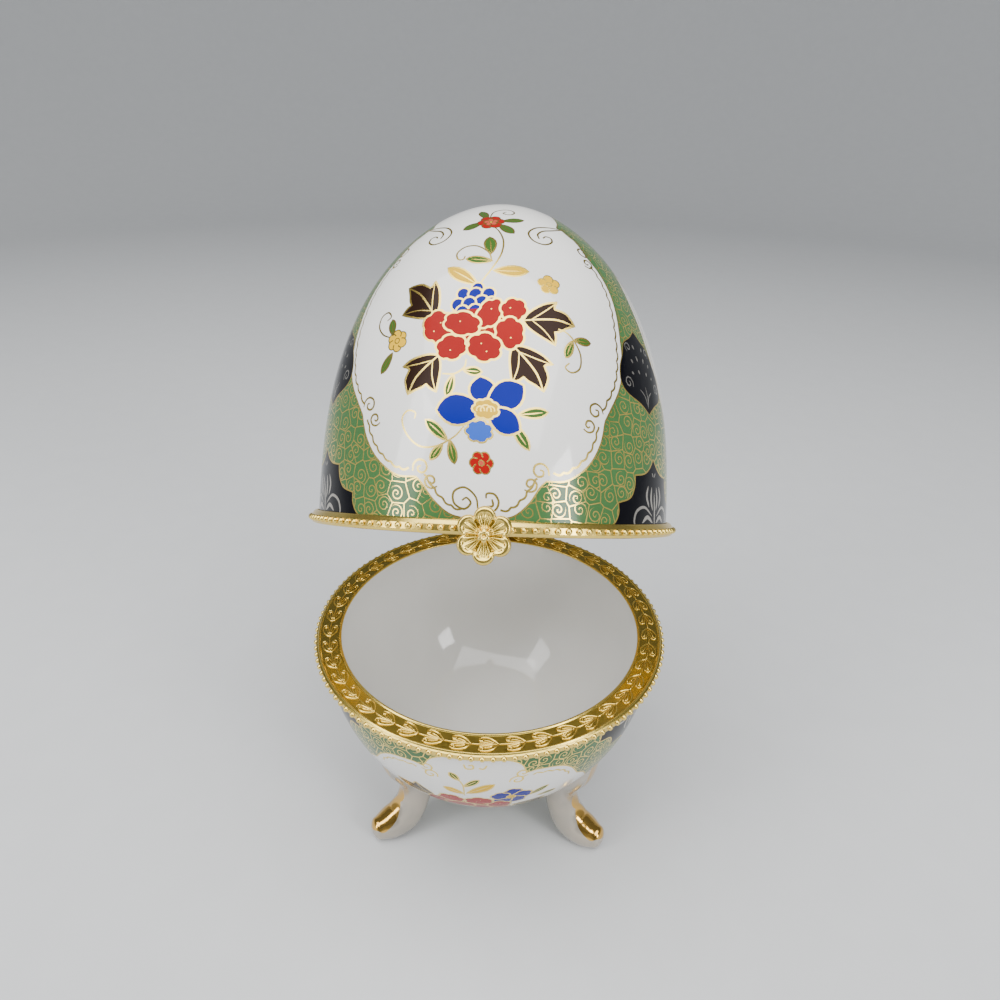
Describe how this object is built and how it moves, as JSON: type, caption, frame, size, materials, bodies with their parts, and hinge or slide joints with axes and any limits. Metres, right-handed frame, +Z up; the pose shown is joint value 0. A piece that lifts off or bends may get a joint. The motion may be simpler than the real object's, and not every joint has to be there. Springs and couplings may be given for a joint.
{
  "type": "egg trinket box",
  "caption": "Footed egg-shaped porcelain trinket box: a hinged domed lid on a bowl, gilt beaded collars round both rims and a rosette clasp at the front.",
  "frame": {"origin": "on the table under the middle of the box's outer bounds as it stands open; the egg's own upright axis is 8.15 mm in front of it", "axes": "+Z up, -Y to the front with the rosette clasp, +Y to the back with the hinge, +X to the right seen from the front"},
  "size_m": [0.085, 0.1015, 0.1541],
  "materials": {
    "porcelain": "white porcelain under a glossy clear glaze, painted and gilded outside",
    "gilt_brass": "bright gold plate on stamped brass"
  },
  "bodies": {
    "bowl": {"porcelain_bowl": "porcelain", "bowl_collar": "gilt_brass", "hinge_bowl_leaf": "gilt_brass", "hinge_pin": "gilt_brass"},
    "lid": {"porcelain_lid": "porcelain", "lid_collar": "gilt_brass", "rosette_clasp": "gilt_brass", "hinge_lid_leaf": "gilt_brass"}
  },
  "joints": [
    {"name": "lid_hinge", "type": "hinge", "parent": "bowl", "child": "lid", "pos_m": [0, 0.03785, 0.063], "axis": [-1, 0, 0], "range_deg": [-30, 30]}
  ]
}
